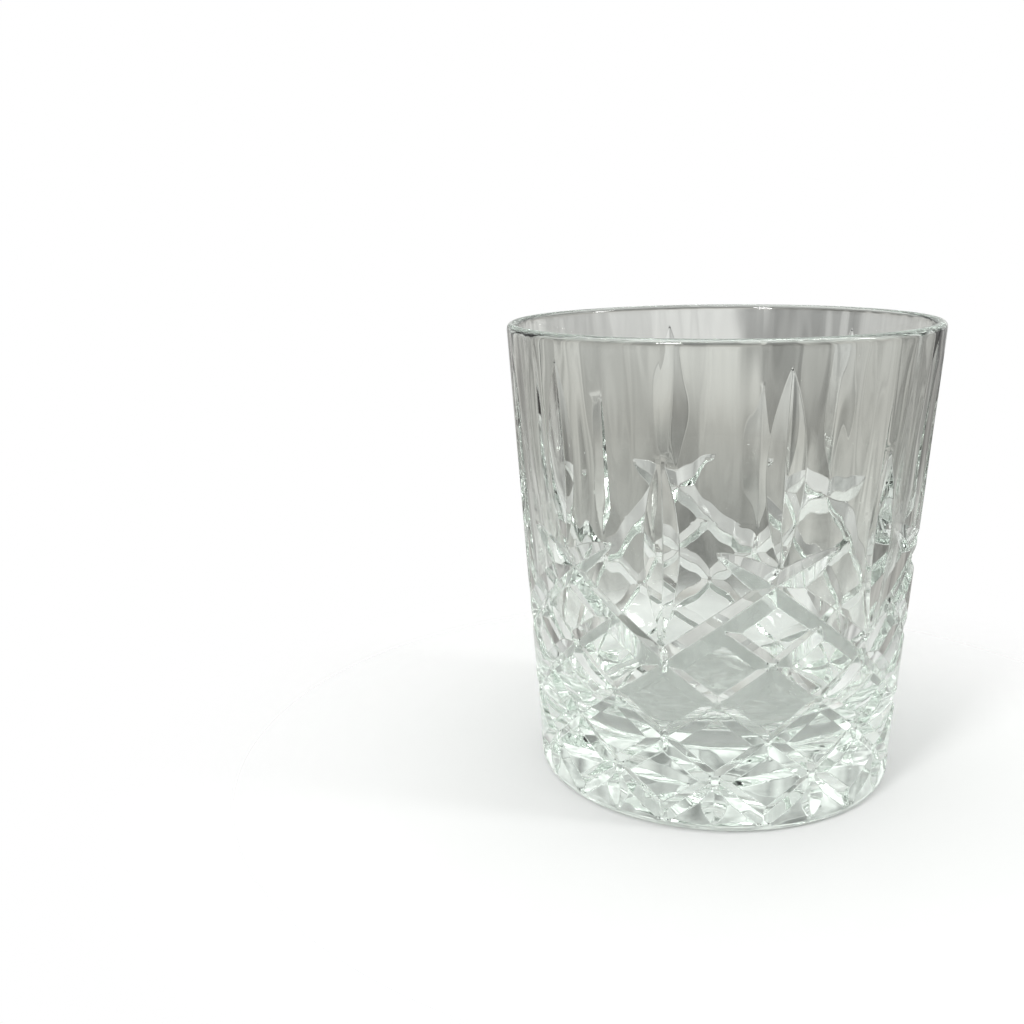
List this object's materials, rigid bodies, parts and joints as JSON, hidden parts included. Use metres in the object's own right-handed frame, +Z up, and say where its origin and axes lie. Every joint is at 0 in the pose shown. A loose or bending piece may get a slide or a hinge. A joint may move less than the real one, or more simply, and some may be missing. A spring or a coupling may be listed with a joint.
{
  "type": "whiskey tumbler",
  "caption": "Short tapered drinking glass with a thick base, cut in diamonds below a zigzag border with upright pointed cuts above it.",
  "frame": {"origin": "centre of the flat underside, where the glass stands", "axes": "+Z up along the axis of the bowl towards the rim; -Y is the front, where one peak of the zigzag border faces"},
  "size_m": [0.0838, 0.0838, 0.0915],
  "materials": {
    "clear_glass": "fire-polished clear pressed glass with a faint green tint"
  },
  "bodies": {
    "root": {"glass_body": "clear_glass"}
  },
  "joints": []
}
